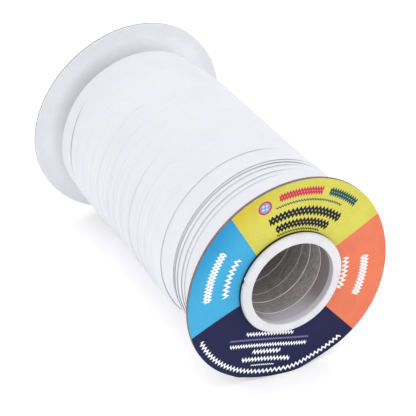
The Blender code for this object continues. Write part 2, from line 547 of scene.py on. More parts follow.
@dataclass(frozen=True)
class PlainWhite(Finish):
    """Off-white, smooth and satin, with a faint cloudiness."""

    def dress(self, wiring: Wiring) -> None:
        """Adds a fine grain and a few marks.

        Args:
            wiring: The material's wiring.
        """
        cloud = wiring.fleck(150.0, 3.0)
        wiring.dress(
            Base_Color=wiring.mix(cloud.ramp(0.35, 0.65), self.shade(0.96), linear(self.colour)),
            Roughness=cloud * 0.16 + (self.roughness - 0.08),
            Normal=wiring.bump(wiring.fleck(1100.0, 3.0), 0.015 * MM, 0.3),
        )


@dataclass(frozen=True)
class TubePaper(Finish):
    """Grey paper of the tube, rolled, with fibres that run round it, and a painted pool of light
    on its lower side if told.
    """

    # The colour of the painted light on the lower side.
    below: Colour | None = None
    contrast: float = 0.16

    def dress(self, wiring: Wiring) -> None:
        """Adds streaks round the tube, mottled fibre and the painted light on the lower side.

        Args:
            wiring: The material's wiring.
        """
        stretched = wiring.add("Mapping", Vector=wiring.spot, Scale=(4.0, 1.0, 1.0))
        tone = wiring.fleck(420.0, 4.0, Vector=stretched) * 0.6 + wiring.fleck(1800.0, 3.0) * 0.4
        paper = linear(self.colour)
        # Painted light: paler on the lower side, where light falls in through the mouth.
        if self.below is not None:
            height = wiring.round_axis()[2] / SIZES.bore_radius
            paper = wiring.mix(height.ramp(-0.58, -1.04), paper, linear(self.below))
        speck = tone.ramp(0.65, 0.35) * self.contrast
        wiring.dress(
            Base_Color=wiring.mix(speck, paper, wiring.darker(paper, 0.45)),
            Normal=wiring.bump(tone, 0.05 * MM, 0.4),
        )


class Stitch(Enum):
    """The kinds of printed stitch row."""

    ZIGZAG = "zigzag"
    DIAMOND = "diamond"


@dataclass(frozen=True)
class StitchRow:
    """A printed row of stitches, with its sizes in millimetres. Each kind has its own path.

    The thread is a share of the row's height.
    """

    kind: Stitch
    height: float
    pitch: float
    ink: Colour

    thread: float = field(default=0.26, kw_only=True)
    soft: float = field(default=0.06, kw_only=True)

    def path(self, across: Field, up: Field) -> tuple[Field, Field, Field]:
        """Where a place on the disc lies along the row.

        Args:
            across: The place along Y from the disc's middle, in millimetres.
            up: The place along Z from it.

        Returns:
            How far along the row the place is, how far to its side, and 1 between its ends.
        """
        raise NotImplementedError

    def mask(self, across: Field, up: Field) -> Field:
        """Where the row is printed.

        Args:
            across: The place along Y from the disc's middle, in millimetres.
            up: The place along Z from it.

        Returns:
            1 where the row is printed and 0 elsewhere.
        """
        run, rise, inside = self.path(across, up)
        thread = self.height * self.thread
        swing = self.height - thread
        saw = run.reckon("PINGPONG", self.pitch / 2) * (2 * swing / self.pitch) - swing / 2
        if self.kind is Stitch.DIAMOND:
            saw, rise = saw.size(), rise.size()
        width = thread * math.hypot(1.0, 2 * swing / self.pitch) / 2
        return (rise - saw).size().ramp(width + self.soft, width - self.soft) * inside


@dataclass(frozen=True)
class ArcRow(StitchRow):
    """A stitch row round the disc's middle, between two angles in degrees."""

    radius: float
    start: float
    end: float

    def path(self, across: Field, up: Field) -> tuple[Field, Field, Field]:
        """Where a place on the disc lies along the arc, as the row's kind says.

        Args:
            across: The place along Y from the disc's middle, in millimetres.
            up: The place along Z from it.

        Returns:
            How far along, how far to the side, and 1 between the ends.
        """
        off = up.reckon("ARCTAN2", across) - math.radians((self.start + self.end) / 2)
        reach = math.radians(abs(self.end - self.start) / 2)
        slack = self.soft / self.radius
        inside = off.size().ramp(reach + slack, reach - slack)
        return (off + FULL_TURN) * self.radius, across.reach(up) - self.radius, inside


@dataclass(frozen=True)
class StraightRow(StitchRow):
    """A straight stitch row, at a distance from the disc's middle along an angle in degrees."""

    distance: float
    length: float
    offset: float = 0.0
    angle: float = -105.7

    def path(self, across: Field, up: Field) -> tuple[Field, Field, Field]:
        """Where a place on the disc lies along the line, as the row's kind says.

        Args:
            across: The place along Y from the disc's middle, in millimetres.
            up: The place along Z from it.

        Returns:
            How far along, how far to the side, and 1 between the ends.
        """
        cosine, sine = math.cos(math.radians(self.angle)), math.sin(math.radians(self.angle))
        rise = across * cosine + up * sine
        run = up * cosine - across * sine
        half = self.length / 2
        inside = (run - self.offset).size().ramp(half + self.soft, half - self.soft)
        return run + 100.0, rise - self.distance, inside


@dataclass(frozen=True)
class PrintedButton:
    """A printed four-hole button: its distance, angle and radius, in millimetres and degrees."""

    distance: float
    angle: float
    size: float
    rim: Colour
    body: Colour
    hole: Colour

    def cover(self, wiring: Wiring, across: Field, up: Field, under: Field) -> Field:
        """Prints the button over a colour.

        Args:
            wiring: The material's wiring.
            across: The place along Y from the disc's middle, in millimetres.
            up: The place along Z from it.
            under: The colour that it is printed on.

        Returns:
            The colour with the button on it.
        """
        size, angle = self.size, math.radians(self.angle)
        across, up = across - self.distance * math.cos(angle), up - self.distance * math.sin(angle)
        radius = across.reach(up)
        hole = (across.size() - size * 0.26).reach(up.size() - size * 0.26)
        colour = wiring.mix(radius.ramp(size + 0.06, size - 0.06), under, linear(self.rim))
        colour = wiring.mix(radius.ramp(size * 0.78, size * 0.7), colour, linear(self.body))
        return wiring.mix(hole.ramp(size * 0.2, size * 0.12), colour, linear(self.hole))


@dataclass(frozen=True)
class PrintedPaper(Finish):
    """Coated paper in one flat ink, with a painted shade towards one side, printed rows and a
    chipped rim.

    Where the ring's lip overhangs it, it is painted dark as the lip's shadow.
    """

    # The darker ink at one side of the rim is painted shade, where the gloss reflects less light.
    rim_shade_colour: Colour = (0, 0, 0)
    rows: tuple[StitchRow, ...] = ()
    button: PrintedButton | None = None
    paper: Colour = (236, 234, 230)
    # The colour of the painted shadow under the ring's lip.
    under_lip_shadow: Colour = (62, 54, 52)
    centre: float = -0.2
    # The angle of the side with the painted shade.
    rim_shade_side: float = math.radians(132)

    def dress(self, wiring: Wiring) -> None:
        """Adds the ink's grain, the painted shade at one side, the stitches, the button, the rim's
        wear and the painted shadow under the ring.

        Args:
            wiring: The material's wiring.
        """
        _, across, up = wiring.round_axis()
        across, up = across / MM - self.centre, up / MM
        cloud = wiring.fleck(90.0, 3.0)
        tone = wiring.fleck(1500.0) * 0.4 + cloud * 0.6
        # Painted shade: the ink darkens towards the rim on one side, where its gloss reflects less
        # light.
        lean = across * math.cos(self.rim_shade_side) + up * math.sin(self.rim_shade_side)
        ink = wiring.mix(lean.ramp(24.0, 37.0), linear(self.colour), linear(self.rim_shade_colour))
        colour = wiring.mix(tone.ramp(0.35, 0.65), wiring.darker(ink, 0.9), ink)
        for row in self.rows:
            colour = wiring.mix(row.mask(across, up), colour, linear(row.ink))
        if self.button is not None:
            colour = self.button.cover(wiring, across, up, colour)
        reach = wiring.kept("reach") / MM
        chips = wiring.fleck(520.0, 3.0) - (SIZES.card_radius / MM - reach) * 0.5
        colour = wiring.mix(chips.ramp(0.60, 0.64), colour, linear(self.paper))
        # Painted shadow: dark under the ring's lip, inside 18 mm from the axis.
        wiring.dress(
            Base_Color=wiring.mix(reach.ramp(18.0, 17.8), colour, linear(self.under_lip_shadow)),
            Roughness=cloud * 0.12 + (self.roughness - 0.06),
            Normal=wiring.bump(tone, 0.03 * MM, 0.2),
            Specular_IOR_Level=0.12,
        )


@dataclass(frozen=True)
class FloorPaint(Finish):
    """A plain pale floor with the faintest tooth, lit a little from below as a light table."""

    glow: float = 0.16

    def dress(self, wiring: Wiring) -> None:
        """Adds a fine grain and the glow.

        Args:
            wiring: The material's wiring.
        """
        wiring.dress(
            Normal=wiring.bump(wiring.fleck(300.0, 3.0), 0.05 * MM, 0.1),
            Emission_Color=(1.0, 1.0, 1.0, 1.0),
            Emission_Strength=self.glow,
        )


# ---- Making pieces


def placed(name: str, data: bpy.types.ID) -> bpy.types.Object:
    """Makes an object of a mesh, a light or a camera, and puts it in the scene.

    Args:
        name: The object's name.
        data: Its mesh, light or camera.

    Returns:
        The object.
    """
    obj = bpy.data.objects.new(name, data)
    bpy.context.scene.collection.objects.link(obj)
    return obj


def solid(name: str, shape: Shape, finishes: Sequence[Finish]) -> bpy.types.Object:
    """Turns a shape into a dressed object.

    Args:
        name: The object's name.
        shape: The shape, which is freed.
        finishes: The finishes, in the order of the faces' material indices.

    Returns:
        The object, whose place is in its mesh.
    """
    mesh = bpy.data.meshes.new(name)
    shape.to_mesh(mesh)
    shape.free()
    for finish in finishes:
        mesh.materials.append(finish.material())
    return placed(name, mesh)


@dataclass(frozen=True)
class Piece:
    """A finished piece: its name, its material slot and the CAD nodes that it stands for."""

    name: str
    slot: str
    stands_for: tuple[str, ...] = ()
    sharp: float = math.radians(40)

    def finish(self, shape: Shape, finishes: Sequence[Finish]) -> None:
        """Makes the piece, riding on the reel.

        Args:
            shape: The shape, modelled about the reel's axis, which is freed.
            finishes: The finishes, in the order of the faces' material indices.
        """
        bmesh.ops.remove_doubles(shape, verts=shape.verts, dist=1e-7)
        bmesh.ops.recalc_face_normals(shape, faces=shape.faces)
        bmesh.ops.translate(shape, verts=shape.verts, vec=(0.0, 0.0, SIZES.axis_height))
        obj = solid(self.name, shape, finishes)
        obj.data.shade_smooth()
        obj.data.set_sharp_from_angle(angle=self.sharp)
        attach(obj, "root")
        if self.stands_for:
            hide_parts(*self.stands_for)
        triangles = sum(len(face.vertices) - 2 for face in obj.data.polygons)
        log.info("%s: %d triangles, slot %s", self.name, triangles, self.slot)


def turned(profile: Sequence[Pair], steps: int) -> Shape:
    """Spins a closed profile about the X axis.

    Args:
        profile: Pairs of place along the axis and radius, in order round the section.
        steps: How many steps the full turn has.

    Returns:
        The closed shape.
    """
    shape = bmesh.new()
    verts = [shape.verts.new((along, radius, 0.0)) for along, radius in profile]
    edges = [shape.edges.new((verts[i - 1], verts[i])) for i in range(len(verts))]
    bmesh.ops.spin(
        shape,
        geom=verts + edges,
        cent=(0.0, 0.0, 0.0),
        axis=(1.0, 0.0, 0.0),
        angle=FULL_TURN,
        steps=steps,
        use_merge=True,
    )
    bmesh.ops.recalc_face_normals(shape, faces=shape.faces)
    return shape


def polar(place: Vector) -> Triple:
    """A point's place along the axis, its radius and its angle."""
    return place.x, math.hypot(place.y, place.z), math.atan2(place.z, place.y)


def round_trip(along: float, radius: float, angle: float) -> Triple:
    """X, Y and Z of a point given round the axis."""
    return along, radius * math.cos(angle), radius * math.sin(angle)


def reshape(shape: Shape, move: Callable[[float, float, float], Triple]) -> None:
    """Moves a shape's points: a place along the axis, radius and angle give X, Y and Z."""
    for vert in shape.verts:
        vert.co = move(*polar(vert.co))


def arc(centre: Pair, size: float, start: float, end: float, points: int) -> list[Pair]:
    """Points of a profile along an arc, angles in degrees from +X towards larger radii."""
    turns = [math.radians(start + (end - start) * i / (points - 1)) for i in range(points)]
    return [(centre[0] + size * math.cos(t), centre[1] + size * math.sin(t)) for t in turns]


def between(table: Sequence[Sequence[float]], at: float) -> list[float]:
    """Reads a table whose first column rises, at a place between two of its rows.

    Args:
        table: The table.
        at: The place in its first column.

    Returns:
        The row there. Past an end of the table, it is the row at that end.
    """
    pairs = list(zip(table, table[1:]))
    before, after = next((pair for pair in pairs if at <= pair[1][0]), pairs[-1])
    share = min(1.0, max(0.0, (at - before[0]) / (after[0] - before[0])))
    return [low + share * (high - low) for low, high in zip(before, after)]


# ---- The tape


@dataclass(frozen=True)
class Lap:
    """A turn's edge, which laps over the next turn: its place and form in millimetres.

    The edge stands on the next turn by its drop, rolls off over its width, and is lifted by
    its gap between two angles, in degrees. It drifts along the axis by so much in each turn.
    Where it is pressed flat, it sinks a little and keeps only a share of its drop.
    """

    at: float
    gap: float = 0.12
    drop: float = 0.20
    width: float = 0.40
    start: float = 108.0
    end: float = 240.0
    drift: float = 4.9

    def form(self, angle: float) -> Triple:
        """The edge's gap, drop and width at an angle, all least where it is pressed flat.

        Args:
            angle: The angle round the axis there.

        Returns:
            The gap, the drop and the width, in millimetres.
        """
        turned_by = (math.degrees(angle) - SEAM_ANGLE) % 360 + SEAM_ANGLE
        opening = smooth_step((turned_by - self.start) / EASING)
        closing = smooth_step((self.end - turned_by) / EASING)
        behind = smooth_step((BACK_SPREAD - math.degrees(apart(angle, BACK_ANGLE))) / EASING)
        lifted = 0.45 + 0.25 * math.sin(2 * angle + 5 * self.at)
        ease = min(1.0, opening * closing + lifted * behind)
        drop = self.drop * (FLAT_SHARE + (1 - FLAT_SHARE) * ease)
        return self.gap * ease - FLAT_SINK * (1 - ease), drop, self.width


@dataclass
class TapeWinding:
    """The folded tape: the outer turns as one lapped, wound strip over a layered pack.

    Its sizes are in millimetres. Each ridge is a covered edge's place and height, which is
    below nothing if the edge faces the far end. Each girth is a place and the radius there on
    the low side and on the high side. Each end is how far the pack reaches past its first or
    last girth at a radius, from the outside in.
    """

    laps: tuple[Lap, ...] = (
        Lap(-41.3, 0.18, 0.36, 0.60, 134, 194, 28.0),
        Lap(-35.1, 0.00, 0.07, 0.40),
        Lap(-29.1, 0.01, 0.08, 0.40),
        Lap(-23.5, 0.00, 0.07, 0.40),
        Lap(-17.9, 0.02, 0.12, 0.60, 96),
        Lap(-10.5, 0.02, 0.11, 0.60),
        Lap(-6.2, 0.01, 0.10, 0.60),
        Lap(-0.6, 0.01, 0.10, 0.60),
        Lap(6.4, 0.06, 0.16, 0.60, 118),
        Lap(13.1, 0.02, 0.11, 0.60),
        Lap(18.4, 0.01, 0.10, 0.60),
        Lap(23.6, 0.00, 0.08, 0.50),
        Lap(29.5, 0.18, 0.34, 0.70, 66),
        Lap(37.3, 0.22, 0.46, 1.60, 50),
        Lap(38.2, 0.36, 0.44, 0.30, 50),
        Lap(40.0, 0.22, 0.40, 0.80, 60),
        Lap(42.8, 0.22, 0.40, 1.00, 68),
        Lap(44.8, 0.14, 0.30, 0.80, 76),
    )
    ridges: tuple[Pair, ...] = (
        (-38.4, 0.05), (-32.2, 0.05), (-26.0, 0.06), (-20.6, 0.06), (-14.3, 0.08), (-8.3, 0.06),
        (-3.1, 0.12), (2.6, 0.08), (8.2, 0.10), (9.7, 0.09), (11.4, 0.12), (14.6, 0.10),
        (16.3, 0.12), (19.9, 0.10), (21.6, 0.12), (25.3, 0.06), (-36.4, -0.09), (-30.6, -0.08),
        (-25.0, -0.10), (-19.2, -0.08), (-12.1, -0.11), (-7.8, -0.08), (-1.9, -0.10), (5.0, -0.08),
        (12.0, -0.09), (17.2, -0.10), (22.6, -0.08), (28.0, -0.07), (34.9, -0.10),
    )
    girths: tuple[Triple, ...] = (
        (-47.8, 29.2, 29.3),
        (-31.6, 30.1, 30.9),
        (-13.6, 30.1, 31.15),
        (-0.1, 30.5, 31.3),
        (15.4, 31.3, 31.35),
        (26.4, 31.6, 31.6),
        (35.4, 30.7, 32.1),
        (51.3, 30.9, 31.4),
    )
    far_end: tuple[Pair, ...] = (
        (0.0, 29.0), (0.7, 28.2), (2.6, 26.0), (4.9, 23.3), (7.1, 20.5), (7.4, 16.7)
    )
    near_end: tuple[Pair, ...] = (
        (0.0, 31.0), (0.8, 30.3), (1.9, 27.8), (2.7, 24.5), (3.2, 20.5), (3.3, 16.7)
    )
    nose: tuple[Pair, ...] = ((0.02, 0.55), (0.00, 0.72), (0.03, 0.9), (0.12, 1.0))
    tuck: float = 0.85
    high_side: float = math.radians(36)
    reference: float = math.radians(150)
    drift: float = 4.9
    first: float = -1.55
    last: float = 17.5
    steps_per_turn: int = 100
    top_points: int = 16
    wander: float = 0.1
    swell: float = 0.07
    pucker: float = 0.02
    swell_length: float = 5.0
    sink: float = 1.1
    fold: float = 0.38
    fold_relief: float = 0.14
    fold_wander: float = 0.35
    layer_wander: float = 0.22
    pack_depth: float = 0.75
    pack_steps: int = 120
    ends_from: float = 45.0
    sharp: float = math.radians(75)
    cloth: Finish = TapeCloth("tape_cloth", (229, 229, 236), 0.92)

    def build(self) -> None:
        """Builds and dresses the strip and the pack under it."""
        self.build_strip()
        self.build_pack()

    def radius_at(self, along: float, angle: float) -> float:
        """The winding's mean radius at a place and an angle, in millimetres and radians."""
        _, low, high = between(self.girths, along)
        return (low + high) / 2 + (high - low) / 2 * math.cos(angle - self.high_side)

    @cached_property
    def knots(self) -> list[Triple]:
        """Turn, place of its edge and drift there, along the whole strip.

        Returns:
            The knots, in order along the strip.
        """
        found = [(self.first - 0.1, -48.2, 0.3), (-1.0, -47.8, 1.5)]
        found += [(float(i), lap.at, lap.drift) for i, lap in enumerate(self.laps)]
        return found + [(self.last + 0.1, self.laps[-1].at + 2.2, 2.5)]

    def edge_at(self, turn: float) -> float:
        """Where the strip's edge lies after so many turns, a little uneven.

        Args:
            turn: Turns along the strip.

        Returns:
            The place along the axis, in millimetres.
        """
        pairs = list(zip(self.knots, self.knots[1:]))
        before, after = next((pair for pair in pairs if turn <= pair[1][0]), pairs[-1])
        span = after[0] - before[0]
        t = min(1.0, max(0.0, (turn - before[0]) / span))
        return (
            (2 * t**3 - 3 * t**2 + 1) * before[1]
            + (t**3 - 2 * t**2 + t) * span * before[2]
            + (3 * t**2 - 2 * t**3) * after[1]
            + (t**3 - t**2) * span * after[2]
            + self.wander * noise.noise(Vector((turn * 2.3, 7.0, 1.0)))
        )

    def lap_at(self, turn: float, angle: float) -> list[float]:
        """The form of the edge that lies on the strip's far side after so many turns.

        Args:
            turn: Turns along the strip.
            angle: The angle round the axis there.

        Returns:
            The edge's gap, drop and width, which pass to those of the next edge on the back.
        """
        place = min(len(self.laps) - 1.0, max(0.0, turn))
        low = min(int(place), len(self.laps) - 2)
        share = smooth_step((place - low - 0.35) / 0.3)
        pairs = zip(self.laps[low].form(angle), self.laps[low + 1].form(angle))
        return [first * (1 - share) + second * share for first, second in pairs]

    def relief(self, along: float, angle: float) -> float:
        """The small rise of the surface over covered edges and uneven pressing.

        Args:
            along: The place along the axis, in millimetres.
            angle: The angle round the axis there.

        Returns:
            The rise, in millimetres.
        """
        seam = math.radians(SEAM_ANGLE)
        past = (angle - seam) % FULL_TURN
        fade = smooth_step(min(past, FULL_TURN - past) / math.radians(40))
        slide = self.drift * (past + seam - self.reference) / FULL_TURN
        rise = 0.0
        for at, height in self.ridges:
            off = along - at - slide
            off = math.copysign(off, off * height)
            shape = math.exp(off / 0.9) if off < 0 else 1 - smooth_step(off / 0.3)
            rise += fade * abs(height) * shape
        where = Vector((along / self.swell_length, 2.2 * math.cos(angle), 2.2 * math.sin(angle)))
        uneven = self.swell * noise.noise(where) + self.pucker * noise.noise(where * 3.1)
        return rise + uneven

    def section(self, turn: float, angle: float) -> list[Pair]:
        """The strip's closed section after so many turns.

        It runs from the edge tucked under the turn before, over the top, round the nose and
        back through the pocket under the nose. It sinks into the pack at both ends of the strip.

        Args:
            turn: Turns along the strip.
            angle: The angle round the axis there.

        Returns:
            Pairs of place along the axis and radius.
        """
        edge = self.edge_at(turn)
        after = self.edge_at(turn + 1) if turn + 1 < self.last else self.girths[-1][0]
        reach = max(0.6, after - edge)
        drop = self.lap_at(turn, angle)[1]
        gap, rise, width = self.lap_at(turn + 1, angle)
        width = min(width, reach * 0.6)
        ending = smooth_step((turn + 1 - self.last) / 0.05)
        gap, rise = gap * (1 - ending) - 0.1 * ending, rise * (1 - ending)
        low, high, thick = -drop / 2, rise / 2, rise - gap + 0.3 * ending
        tuck = 0.05 + (self.tuck - 0.05) * smooth_step((turn + 0.6) / 0.4)
        body = [(-tuck + 0.1, low - 0.6), (-tuck, low - 0.25), (-tuck + 0.1, low - 0.05)]
        body.append((-tuck * 0.5 + 0.1, low))
        end = reach - width
        for i in range(self.top_points + 1):
            share = i / self.top_points
            body.append((0.1 + share * (end - 0.1), low + (high - low) * share))
        for share in (0.25, 0.5, 0.75, 0.9):
            body.append((end + width * share, high - 0.5 * thick * share**2))
        body += [(reach - inset, high - thick * share) for inset, share in self.nose]
        pocket = min(self.tuck, reach * 0.7)
        body += [
            (reach - pocket * 0.6, high - thick - gap * 0.2),
            (reach - pocket, -high - 0.03),
            (reach - pocket - 0.03, -high - 0.3),
            (reach * 0.4, -1.0),
        ]
        sunk = smooth_step((self.first + 0.3 - turn) / 0.25)
        sunk += smooth_step((turn - self.last + 0.22) / 0.2)
        found = []
        for along, height in body:
            along += edge
            radius = self.radius_at(along, angle) + height + self.relief(along, angle)
            found.append((along, radius - self.sink * sunk))
        return found

    def build_strip(self) -> None:
        """Builds the outer turns from one flat grid, wound on with each turn lapping the last."""
        around = len(self.section(0.0, 0.0))
        count = round((self.last - self.first) * self.steps_per_turn)
        shape = bmesh.new()
        bmesh.ops.create_grid(shape, x_segments=count, y_segments=around, size=0.5)
        layer = shape.loops.layers.uv.new("cloth")
        rows: dict[int, list[Pair]] = {}
        run = FULL_TURN * self.girths[0][2] * MM
        for vert in shape.verts:
            row, point = (round((place + 0.5) * n) for place, n in zip(vert.co, (count, around)))
            turn = self.first + row / self.steps_per_turn
            angle = self.reference + FULL_TURN * turn
            if row not in rows:
                rows[row] = self.section(turn, angle)
            along, radius = rows[row][point % around]
            for loop in vert.link_loops:
                side = along - rows[row][0][0] + point * 0.01
                loop[layer].uv = (turn * run, side * MM)
            vert.co = Vector(round_trip(along * MM, radius * MM, angle))
        bmesh.ops.remove_doubles(shape, verts=shape.verts, dist=1e-8)
        bmesh.ops.holes_fill(shape, edges=[e for e in shape.edges if e.is_boundary], sides=0)
        Piece("tape_turns", "tape", sharp=self.sharp).finish(shape, [self.cloth])

    def end_wall(self, outline: Sequence[Pair], sign: float, start: float) -> list[Pair]:
        """The layered wall at one end of the pack, from the tube outwards.

        Args:
            outline: Distance past the end's start and radius, from the outside in.
            sign: 1 at the near end and -1 at the far end.
            start: Where the end starts along the axis, in millimetres.

        Returns:
            Pairs of place along the axis and radius, in metres.
        """
        table = [(radius, past) for past, radius in reversed(outline)]
        inner, outer = table[0][0], table[-1][0] - 0.5
        folds = int((outer - inner) / self.fold)
        found = []
        for i in range(folds):
            radius = inner + (i + 0.5) * (outer - inner) / folds
            past = between(table, radius)[1]
            past += self.fold_wander * noise.noise(Vector((i // 2 * 3.7, 2.0, sign * 5.0)))
            past = min(past, table[0][1] - 0.1)
            for back, share in ((1, -0.49), (0, -0.225), (0, 0.225), (1, 0.49)):
                along = start + sign * (past - back * self.fold_relief)
                found.append((along * MM, (radius + share * self.fold) * MM))
        return found

    def build_pack(self) -> None:
        """Builds the layered pack under the outer turns, whose ends show the tape's folds."""
        far = self.end_wall(self.far_end, -1.0, self.girths[0][0])
        near = self.end_wall(self.near_end, 1.0, self.girths[-1][0])
        inner = self.girths[1:-1]
        middle = [(at * MM, ((low + high) / 2 - self.pack_depth) * MM) for at, low, high in inner]
        shape = turned(far + middle + near[::-1], self.pack_steps)

        def move(along: float, radius: float, angle: float) -> Triple:
            """Gives the pack its larger side and each layer its own wander.

            Args:
                along: The point's place along the axis.
                radius: Its distance from the axis.
                angle: Its angle round the axis.

            Returns:
                The point's X, Y and Z, counted from the axis.
            """
            outward = min(1.0, max(0.0, (radius - SIZES.hole_radius) / (14 * MM)))
            mean = self.radius_at(along / MM, self.high_side + math.pi / 2)
            lean = self.radius_at(along / MM, angle) - mean
            phase = 2.4 * round(radius / (2 * self.fold * MM))
            wander = self.layer_wander * MM * abs(math.sin(angle + phase) * outward)
            if abs(along) > self.ends_from * MM:
                along -= math.copysign(wander, along)
            return round_trip(along, radius + outward * lean * MM, angle)

        reshape(shape, move)
        self.unroll(shape)
        Piece("tape_pack", "tape", ("wound_tape",), self.sharp).finish(shape, [self.cloth])

    def unroll(self, shape: Shape) -> None:
        """Gives the pack its cloth coordinates: round the axis, and along its surface.

        Args:
            shape: The pack's shape.
        """
        layer = shape.loops.layers.uv.new("cloth")
        for face in shape.faces:
            middle = polar(face.calc_center_median())[2]
            for loop in face.loops:
                along, radius, angle = polar(loop.vert.co)
                angle += FULL_TURN * round((middle - angle) / FULL_TURN)
                loop[layer].uv = (angle * 25 * MM, radius - abs(along))


# ---- The card reel


@dataclass
class PaperTube:
    """The grey paper tube, with the raised seams of its plies down its bore."""

    seams: tuple[Pair, ...] = ((51.6, 0.5), (45.1, 1.0), (40.4, 0.5), (33.7, 1.0))
    spacing: Pair = (4.7, 6.7)
    deepest: float = -54.0
    width: float = 0.34
    height: float = 0.16
    tilt: float = 0.56
    tilt_angle: float = math.radians(-144)
    steps: int = 128
    skin: float = 0.01 * MM

    def all_seams(self) -> list[Pair]:
        """Each seam's place in millimetres and its strength, down the whole bore.

        Returns:
            Pairs of place and strength, from the near end.
        """
        found = list(self.seams)
        while found[-1][0] - max(self.spacing) > self.deepest:
            strong = found[-1][1] < 1.0
            gap = self.spacing[1] if strong else self.spacing[0]
            found.append((found[-1][0] - gap, 1.0 if strong else 0.5))
        return found

    def build(self) -> None:
        """Builds and dresses the tube."""
        bore = SIZES.bore_radius
        inner: list[Pair] = []
        marks: list[float] = []
        for at, strength in self.all_seams():
            half = self.width * (0.6 + 0.4 * strength) / 2 * MM
            rise = self.height * strength * MM
            for share, step in ((1.0, 0.0), (0.45, rise), (-0.45, rise), (-1.0, 0.0)):
                inner.append((at * MM + half * share, bore - step))
            marks.append(at * MM)
        near, far = SIZES.near_face, SIZES.far_face
        outline = [(far, bore), (far, SIZES.tube_radius), (near, SIZES.tube_radius), (near, bore)]
        shape = turned(outline + inner, self.steps)
        for face in shape.faces:
            along, radius, _ = polar(face.calc_center_median())
            off_seam = min(abs(along - mark) for mark in marks)
            raised = radius < bore - self.skin or off_seam < self.width / 2 * MM
            # Past the first seam towards the near mouth, the bore takes a painted shading: darker
            # above, paler below.
            if radius < bore + self.skin:
                face.material_index = 1 if raised else 2 * int(along > marks[0])

        def move(along: float, radius: float, angle: float) -> Triple:
            """Tilts the seams, which run a little askew.

            Args:
                along: The point's place along the axis.
                radius: Its distance from the axis.
                angle: Its angle round the axis.

            Returns:
                The point's X, Y and Z, counted from the axis.
            """
            free = smooth_step(min(near - along, along - far) / (3 * MM))
            inside = radius < bore + 0.1 * MM
            along += self.tilt * MM * free * inside * math.cos(angle - self.tilt_angle)
            return round_trip(along, radius, angle)

        reshape(shape, move)
        finishes = [
            TubePaper("tube_paper", (192, 186, 186), 0.85, contrast=0.75),
            TubePaper("tube_seam", (238, 235, 234), 0.8),
            # The mouth's finish is painted shade and light: a darker grey, paler on its lower
            # side.
            TubePaper("tube_mouth_painted_shading", (142, 133, 133), 0.8, (200, 198, 208), 0.1),
        ]
        Piece("paper_tube", "tube_paper", ("core_tube",)).finish(shape, finishes)


@dataclass
class CardFlange:
    """A card flange: a warped disc of card lined with white paper."""

    end: End
    rim: RimShape
    outer_face: float
    slot: str
    cut_edge: CardEdge
    steps: int = 180
    rings: int = 9
    round_off: float = 0.07 * MM

    def build(self) -> None:
        """Builds and dresses the flange."""
        inward = -self.cut_edge.thickness if self.end is End.NEAR else self.cut_edge.thickness
        inner_face = self.outer_face + inward
        low, high = sorted((inner_face, self.outer_face))
        edge, corner = SIZES.card_radius, self.round_off
        span = (edge - SIZES.hole_radius) / self.rings
        radii = [SIZES.hole_radius + span * i for i in range(self.rings)]
        rim = arc((high - corner, edge - corner), corner, 0, 90, 3)
        rim += [(low + (high - low) * share, edge) for share in (0.75, 0.5, 0.25)]
        rim += arc((low + corner, edge - corner), corner, 90, 180, 3)
        profile = [(high, r) for r in radii] + rim + [(low, r) for r in reversed(radii)]
        shape = turned(profile, self.steps)
        depth = shape.verts.layers.float.new("depth")
        for vert in shape.verts:
            vert[depth] = abs(vert.co.x - inner_face)
        for face in shape.faces:
            radius = polar(face.calc_center_median())[1]
            face.material_index = int(radius > edge - corner * 0.9)
        reshape(shape, self.rim.moved)
        name = self.end.value
        lining = CardLining(f"{name}_card_lining", (243, 243, 248), 0.85)
        piece = Piece(f"{name}_card", self.slot, (f"{name}_flange",), math.radians(60))
        piece.finish(shape, [lining, self.cut_edge])


@dataclass(frozen=True)
class Sector:
    """A printed sector: the border where it starts, in degrees, and its finish.

    The border is a straight line, so it has one angle at the ring and one at the rim.
    """

    at_ring: float
    at_rim: float
    finish: PrintedPaper
    near: float = 12.0

    def border(self) -> tuple[Vector, Vector]:
        """Where the border starts at the ring, and its direction.

        Returns:
            The place and the direction.
        """
        ring, rim = math.radians(self.at_ring), math.radians(self.at_rim)
        start = Vector(round_trip(SIZES.near_face, SIZES.ring_radius, ring))
        end = Vector(round_trip(SIZES.near_face, SIZES.card_radius, rim))
        return start, (end - start).normalized()

    def past(self, place: Vector) -> float:
        """How many degrees a place on the disc lies past the border, or 360 if just before.

        Args:
            place: The place, from the axis.

        Returns:
            The degrees.
        """
        off = (math.degrees(polar(place)[2]) - self.at_ring + 180) % 360 - 180
        if abs(off) >= self.near:
            return off % 360
        start, run = self.border()
        step = place - start
        return 0.0 if run.y * step.z - run.z * step.y > 0 else 360.0


